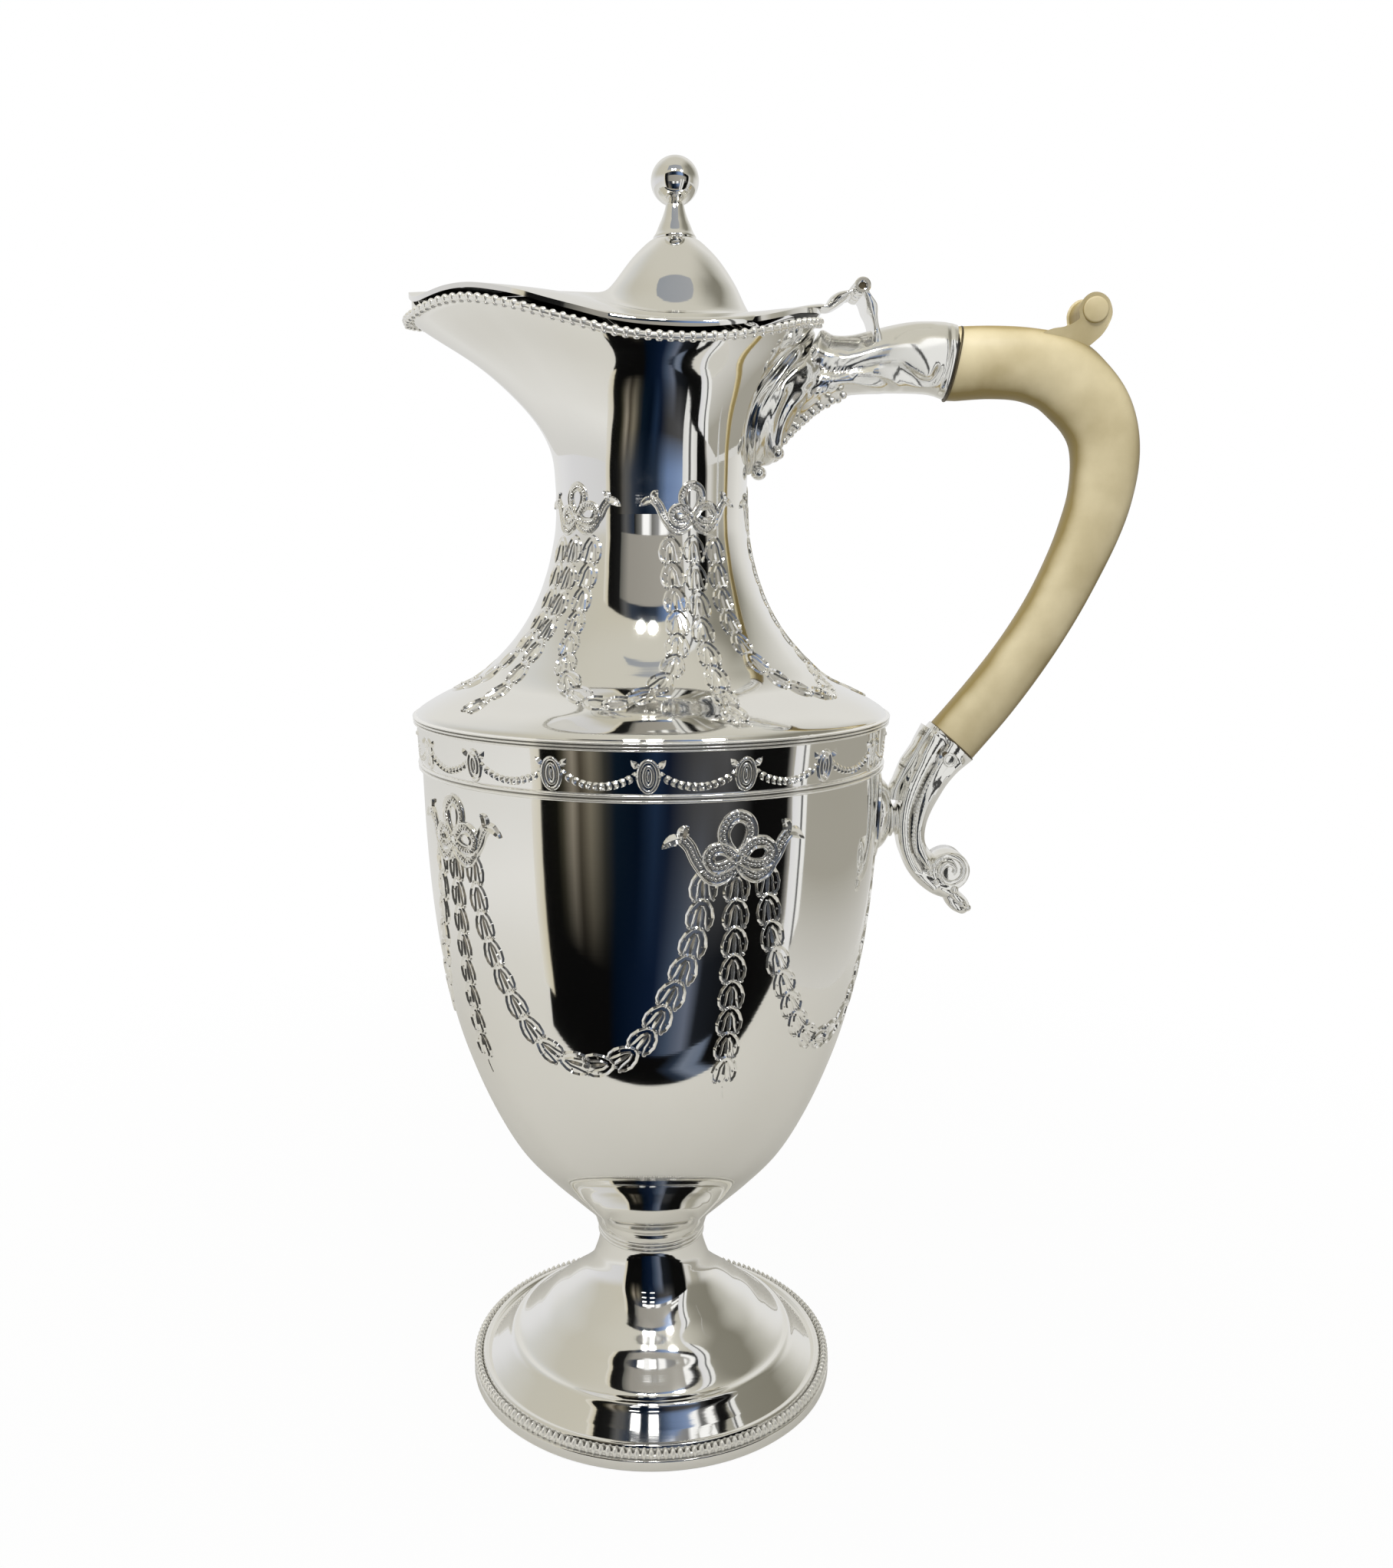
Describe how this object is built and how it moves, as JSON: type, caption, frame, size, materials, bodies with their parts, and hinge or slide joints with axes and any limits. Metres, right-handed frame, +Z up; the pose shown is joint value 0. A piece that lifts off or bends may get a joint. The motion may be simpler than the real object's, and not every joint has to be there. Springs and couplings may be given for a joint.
{
  "type": "ewer",
  "caption": "Footed silver ewer with a frieze band, a wide pouring lip, a hinged domed lid with a ball finial, and a bowed cream grip between two cast branches.",
  "frame": {"origin": "centre of the foot's resting ring, on the surface that the ewer stands on", "axes": "+Z up along the bowl's axis, -X towards the spout, +X towards the handle, +Y across the handle"},
  "size_m": [0.176, 0.117, 0.3051],
  "materials": {
    "silver_sheet": "polished raised sheet silver",
    "silver_wire": "polished beaded and reeded silver wire",
    "silver_cast": "cast and chased silver, polished",
    "silver_pin": "drawn silver, polished",
    "cream_grip": "satin cream with a soft polish"
  },
  "bodies": {
    "jug": {"foot": "silver_sheet", "foot_bead_wire": "silver_wire", "stem_collar": "silver_wire", "bowl": "silver_sheet", "frieze_band": "silver_sheet", "band_upper_moulding": "silver_wire", "band_lower_moulding": "silver_wire", "shoulder": "silver_sheet", "mouth": "silver_sheet", "lip_bead_wire": "silver_wire", "upper_socket": "silver_cast", "hinge_stand": "silver_cast", "hinge_pin": "silver_pin", "upper_socket_pin": "silver_pin", "handle_grip": "cream_grip", "lower_socket": "silver_cast", "lower_socket_pin": "silver_pin", "handle_strut": "silver_cast", "body_plate": "silver_cast"},
    "lid": {"lid": "silver_sheet", "lid_hinge_leaf": "silver_cast", "finial": "silver_cast", "finial_washer": "silver_pin", "finial_nut": "silver_pin"}
  },
  "joints": [
    {"name": "lid_hinge", "type": "hinge", "parent": "jug", "child": "lid", "pos_m": [0.0488, 0, 0.27513], "axis": [0, 1, 0], "range_deg": [0, 100]}
  ]
}
